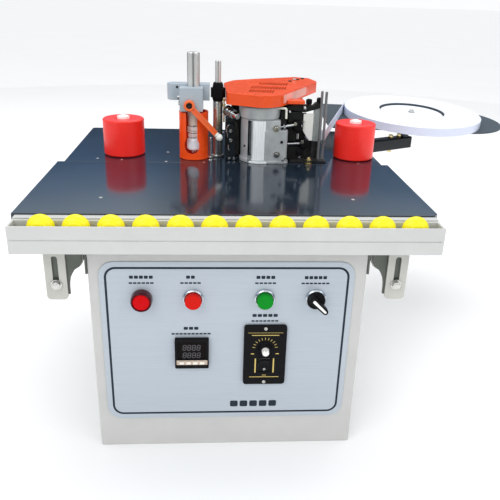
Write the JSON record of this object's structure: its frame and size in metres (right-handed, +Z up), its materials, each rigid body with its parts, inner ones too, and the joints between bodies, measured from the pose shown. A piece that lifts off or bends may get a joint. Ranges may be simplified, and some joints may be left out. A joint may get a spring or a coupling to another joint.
{
  "type": "edge banding machine",
  "caption": "Bench-top edge banding machine: white cabinet with control panel, black table with roller rail, gluing head, trimming column and tape coil on an arm.",
  "frame": {"origin": "centre of the cabinet's underside, on the surface that the machine stands on", "axes": "+Z up, +X to the operator's right along the table, +Y away from the operator, from the control panel to the rear"},
  "size_m": [0.8942, 0.7503, 0.546],
  "materials": {
    "white_paint": "semi-gloss off-white powder coat",
    "label_blue": "satin silver-blue printed plate with a dark border line",
    "black_gloss": "high-gloss black table surface",
    "black_plastic": "moulded black plastic",
    "black_paint": "black paint on steel",
    "red_plastic": "glossy red lens and cap plastic",
    "green_plastic": "glossy green cap plastic",
    "bezel_metal": "satin metal control ring",
    "cream_rubber": "beige silicone keys",
    "white_plastic": "white control knob",
    "yellow_plastic": "bright yellow nylon",
    "zinc": "grey-beige plated bracket steel",
    "red_polyurethane": "smooth red polyurethane",
    "steel": "turned steel",
    "orange_paint": "glossy orange-red paint",
    "orange_lever": "orange painted lever",
    "chrome": "hard chrome",
    "cast_grey": "grey machined casting",
    "rubber": "black rubber",
    "tape_white": "white edging tape",
    "slate_paint": "dark slate powder coat"
  },
  "bodies": {
    "machine": {"cabinet_shell": "white_paint", "cabinet_back": "white_paint", "control_panel": "label_blue", "drive_motor": "black_paint", "pilot_lamp": "red_plastic", "red_button_bezel": "bezel_metal", "green_button_bezel": "bezel_metal", "selector_bezel": "bezel_metal", "temperature_controller": "black_plastic", "speed_controller": "black_plastic", "table_front_angle": "white_paint", "table_front_plate": "black_gloss", "table_rear_plate": "black_gloss", "rail_support_left": "zinc", "rail_support_right": "zinc", "guide_axle_left": "steel", "guide_axle_right": "steel", "trim_tube": "orange_paint", "guide_rod": "chrome", "glue_pot": "cast_grey", "head_cover": "orange_paint", "head_frame": "black_paint", "end_cutter": "black_paint", "tape_guide": "cast_grey", "tape_tray": "slate_paint", "tray_arm": "black_paint", "tape_strip": "tape_white"},
    "rail": {"roller_rail": "white_paint"},
    "rail_roller_01": {"rail_roller_01": "yellow_plastic"},
    "rail_roller_02": {"rail_roller_02": "yellow_plastic"},
    "rail_roller_03": {"rail_roller_03": "yellow_plastic"},
    "rail_roller_04": {"rail_roller_04": "yellow_plastic"},
    "rail_roller_05": {"rail_roller_05": "yellow_plastic"},
    "rail_roller_06": {"rail_roller_06": "yellow_plastic"},
    "rail_roller_07": {"rail_roller_07": "yellow_plastic"},
    "rail_roller_08": {"rail_roller_08": "yellow_plastic"},
    "rail_roller_09": {"rail_roller_09": "yellow_plastic"},
    "rail_roller_10": {"rail_roller_10": "yellow_plastic"},
    "rail_roller_11": {"rail_roller_11": "yellow_plastic"},
    "rail_roller_12": {"rail_roller_12": "yellow_plastic"},
    "guide_roller_left": {"guide_roller_left": "red_polyurethane"},
    "guide_roller_right": {"guide_roller_right": "red_polyurethane"},
    "adjust_wheel": {"adjust_wheel": "steel"},
    "trim_head": {"trim_column": "chrome", "trim_block": "cast_grey"},
    "clamp_lever": {"clamp_lever": "orange_lever"},
    "star_knob": {"star_knob": "black_plastic"},
    "drive_shaft": {"drive_shaft": "steel"},
    "glue_roller": {"glue_roller": "steel"},
    "feed_roller": {"feed_roller": "rubber"},
    "tape_coil": {"tape_coil": "tape_white"},
    "red_button": {"red_button": "red_plastic"},
    "green_button": {"green_button": "green_plastic"},
    "temperature_key_1": {"temperature_key_1": "cream_rubber"},
    "temperature_key_2": {"temperature_key_2": "cream_rubber"},
    "temperature_key_3": {"temperature_key_3": "cream_rubber"},
    "temperature_key_4": {"temperature_key_4": "cream_rubber"},
    "selector_knob": {"selector_knob": "black_plastic"},
    "speed_knob": {"speed_knob": "white_plastic"},
    "rocker_switch": {"rocker_switch": "black_plastic"}
  },
  "joints": [
    {"name": "rail_height", "type": "slide", "parent": "machine", "child": "rail", "axis": [0, 0, 1], "range_m": [-0.034, 0]},
    {"name": "rail_roller_01_spin", "type": "hinge", "parent": "rail", "child": "rail_roller_01", "pos_m": [-0.23953, -0.246, 0.359], "axis": [0, 1, 0], "continuous": true},
    {"name": "rail_roller_02_spin", "type": "hinge", "parent": "rail", "child": "rail_roller_02", "pos_m": [-0.19567, -0.246, 0.359], "axis": [0, 1, 0], "continuous": true},
    {"name": "rail_roller_03_spin", "type": "hinge", "parent": "rail", "child": "rail_roller_03", "pos_m": [-0.15181, -0.246, 0.359], "axis": [0, 1, 0], "continuous": true},
    {"name": "rail_roller_04_spin", "type": "hinge", "parent": "rail", "child": "rail_roller_04", "pos_m": [-0.10795, -0.246, 0.359], "axis": [0, 1, 0], "continuous": true},
    {"name": "rail_roller_05_spin", "type": "hinge", "parent": "rail", "child": "rail_roller_05", "pos_m": [-0.06409, -0.246, 0.359], "axis": [0, 1, 0], "continuous": true},
    {"name": "rail_roller_06_spin", "type": "hinge", "parent": "rail", "child": "rail_roller_06", "pos_m": [-0.02023, -0.246, 0.359], "axis": [0, 1, 0], "continuous": true},
    {"name": "rail_roller_07_spin", "type": "hinge", "parent": "rail", "child": "rail_roller_07", "pos_m": [0.02363, -0.246, 0.359], "axis": [0, 1, 0], "continuous": true},
    {"name": "rail_roller_08_spin", "type": "hinge", "parent": "rail", "child": "rail_roller_08", "pos_m": [0.06749, -0.246, 0.359], "axis": [0, 1, 0], "continuous": true},
    {"name": "rail_roller_09_spin", "type": "hinge", "parent": "rail", "child": "rail_roller_09", "pos_m": [0.11135, -0.246, 0.359], "axis": [0, 1, 0], "continuous": true},
    {"name": "rail_roller_10_spin", "type": "hinge", "parent": "rail", "child": "rail_roller_10", "pos_m": [0.15521, -0.246, 0.359], "axis": [0, 1, 0], "continuous": true},
    {"name": "rail_roller_11_spin", "type": "hinge", "parent": "rail", "child": "rail_roller_11", "pos_m": [0.19907, -0.246, 0.359], "axis": [0, 1, 0], "continuous": true},
    {"name": "rail_roller_12_spin", "type": "hinge", "parent": "rail", "child": "rail_roller_12", "pos_m": [0.24293, -0.246, 0.359], "axis": [0, 1, 0], "continuous": true},
    {"name": "guide_left_spin", "type": "hinge", "parent": "machine", "child": "guide_roller_left", "pos_m": [-0.1787, 0.1053, 0.4], "axis": [0, 0, 1], "continuous": true},
    {"name": "guide_right_spin", "type": "hinge", "parent": "machine", "child": "guide_roller_right", "pos_m": [0.2326, 0.0977, 0.4], "axis": [0, 0, 1], "continuous": true},
    {"name": "adjust_wheel_turn", "type": "hinge", "parent": "machine", "child": "adjust_wheel", "pos_m": [-0.055, 0.0845, 0.3925], "axis": [0, 0, 1], "range_deg": [0, 2161]},
    {"name": "trim_height", "type": "slide", "parent": "machine", "child": "trim_head", "axis": [0, 0, 1], "range_m": [0, 0.012]},
    {"name": "clamp_lever_turn", "type": "hinge", "parent": "trim_head", "child": "clamp_lever", "pos_m": [-0.0617, 0.0535, 0.4627], "axis": [0, 1, 0], "range_deg": [-30, 25]},
    {"name": "star_knob_turn", "type": "hinge", "parent": "machine", "child": "star_knob", "pos_m": [-0.0134, 0.0935, 0.476], "axis": [0, 0, 1], "range_deg": [-180, 180]},
    {"name": "drive_spin", "type": "hinge", "parent": "machine", "child": "drive_shaft", "pos_m": [0.08083, 0.1086, 0.4], "axis": [0, 0, 1], "continuous": true},
    {"name": "glue_roller_spin", "type": "hinge", "parent": "machine", "child": "glue_roller", "pos_m": [0.051, 0.066, 0.41], "axis": [0, 0, 1], "continuous": true},
    {"name": "feed_roller_spin", "type": "hinge", "parent": "machine", "child": "feed_roller", "pos_m": [0.121, 0.094, 0.41], "axis": [0, 0, 1], "continuous": true},
    {"name": "tape_coil_spin", "type": "hinge", "parent": "machine", "child": "tape_coil", "pos_m": [0.4127, 0.3435, 0.4124], "axis": [0.0259, -0.064, 0.9976], "continuous": true},
    {"name": "red_button_press", "type": "slide", "parent": "machine", "child": "red_button", "axis": [0, 1, 0], "range_m": [0, 0.003], "stiffness_N_per_m": 400},
    {"name": "green_button_press", "type": "slide", "parent": "machine", "child": "green_button", "axis": [0, 1, 0], "range_m": [0, 0.003], "stiffness_N_per_m": 400},
    {"name": "temperature_key_1_press", "type": "slide", "parent": "machine", "child": "temperature_key_1", "axis": [0, 1, 0], "range_m": [0, 0.0006], "stiffness_N_per_m": 800},
    {"name": "temperature_key_2_press", "type": "slide", "parent": "machine", "child": "temperature_key_2", "axis": [0, 1, 0], "range_m": [0, 0.0006], "stiffness_N_per_m": 800},
    {"name": "temperature_key_3_press", "type": "slide", "parent": "machine", "child": "temperature_key_3", "axis": [0, 1, 0], "range_m": [0, 0.0006], "stiffness_N_per_m": 800},
    {"name": "temperature_key_4_press", "type": "slide", "parent": "machine", "child": "temperature_key_4", "axis": [0, 1, 0], "range_m": [0, 0.0006], "stiffness_N_per_m": 800},
    {"name": "selector_turn", "type": "hinge", "parent": "machine", "child": "selector_knob", "pos_m": [0.1205, -0.2363, 0.25], "axis": [0, 1, 0], "range_deg": [0, 90]},
    {"name": "speed_knob_turn", "type": "hinge", "parent": "machine", "child": "speed_knob", "pos_m": [0.0527, -0.2358, 0.1715], "axis": [0, 1, 0], "range_deg": [-135, 135]},
    {"name": "rocker_tilt", "type": "hinge", "parent": "machine", "child": "rocker_switch", "pos_m": [0.0525, -0.2358, 0.1435], "axis": [1, 0, 0], "range_deg": [-12, 0]}
  ],
  "couplings": [
    {"joint": "glue_roller_spin", "follows": "drive_spin", "ratio": -1.8889},
    {"joint": "adjust_wheel_turn", "follows": "trim_height", "rad_per_m": 3141.6}
  ]
}
